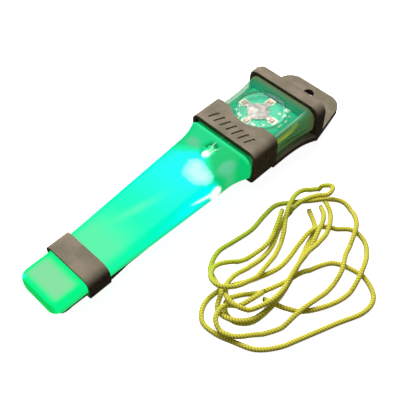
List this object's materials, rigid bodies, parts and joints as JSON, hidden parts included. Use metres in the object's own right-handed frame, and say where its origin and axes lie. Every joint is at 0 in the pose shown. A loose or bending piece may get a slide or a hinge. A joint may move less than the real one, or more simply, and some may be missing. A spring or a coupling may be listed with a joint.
{
  "type": "traffic baton light",
  "caption": "Hand-sized electronic light baton: tinted light-guide lens in a rubber boot, press dome switch, removable lanyard end cap, sprung webbing clip and loose elastic cords.",
  "frame": {"origin": "under the middle of the light, on the surface that its clip rests on", "axes": "+Y from the tongue to the lanyard tab, +Z out of the lens face, +X completes the right hand"},
  "size_m": [0.097, 0.1456, 0.0228],
  "materials": {
    "lens": "clear tinted moulding, glossy",
    "boot_rubber": "matt dark-earth elastomer with a fine grain",
    "plug_plastic": "black moulded plastic",
    "seal_rubber": "smooth black seal rubber",
    "cell_steel": "brushed cell can",
    "contact_metal": "plated spring strip",
    "wire_jacket": "yellow wire jacket",
    "board": "green solder mask",
    "dome_metal": "satin plated dome sheet",
    "button_clear": "clear soft membrane",
    "lamp_clear": "water-clear lamp resin",
    "chip_black": "black chip package",
    "chip_ceramic": "pale ceramic with tinned ends",
    "clip_steel": "black coated spring steel",
    "pin_steel": "plain steel",
    "cord_elastic": "ribbed elastic cord, yellow-green"
  },
  "bodies": {
    "light": {"lens_body": "lens", "rubber_boot": "boot_rubber", "positive_contact": "contact_metal", "negative_spring": "contact_metal", "led_lead_anode": "contact_metal", "led_lead_cathode": "contact_metal", "battery_lead": "wire_jacket", "circuit_board": "board", "snap_dome": "dome_metal", "led_lamp": "lamp_clear", "controller_chip": "chip_black", "resistor_1": "chip_ceramic", "resistor_2": "chip_ceramic", "resistor_3": "chip_ceramic", "capacitor_1": "chip_ceramic", "capacitor_2": "chip_ceramic", "clip_bracket": "clip_steel", "clip_pin": "pin_steel", "clip_spring": "pin_steel", "bracket_screw_1": "pin_steel", "bracket_screw_2": "pin_steel", "cord_1": "cord_elastic", "cord_2": "cord_elastic", "cord_3": "cord_elastic"},
    "cap": {"end_cap": "boot_rubber", "cap_plug": "plug_plastic", "cap_seal": "seal_rubber", "battery_sled": "plug_plastic", "coin_cell_lower": "cell_steel", "coin_cell_upper": "cell_steel"},
    "button": {"button_pad": "button_clear"},
    "clip": {"webbing_clip": "clip_steel"}
  },
  "joints": [
    {"name": "cap_pull", "type": "slide", "parent": "light", "child": "cap", "axis": [0, 1, 0], "range_m": [0, 0.03]},
    {"name": "button_press", "type": "slide", "parent": "light", "child": "button", "axis": [0, 0, -1], "range_m": [0, 0.0006], "stiffness_N_per_m": 3000, "deforming": ["snap_dome"]},
    {"name": "clip_open", "type": "hinge", "parent": "light", "child": "clip", "pos_m": [0, 0.03745, 0.0032], "axis": [1, 0, 0], "range_deg": [0, 12], "stiffness_Nm_per_rad": 0.06, "springref_deg": -28.65}
  ]
}
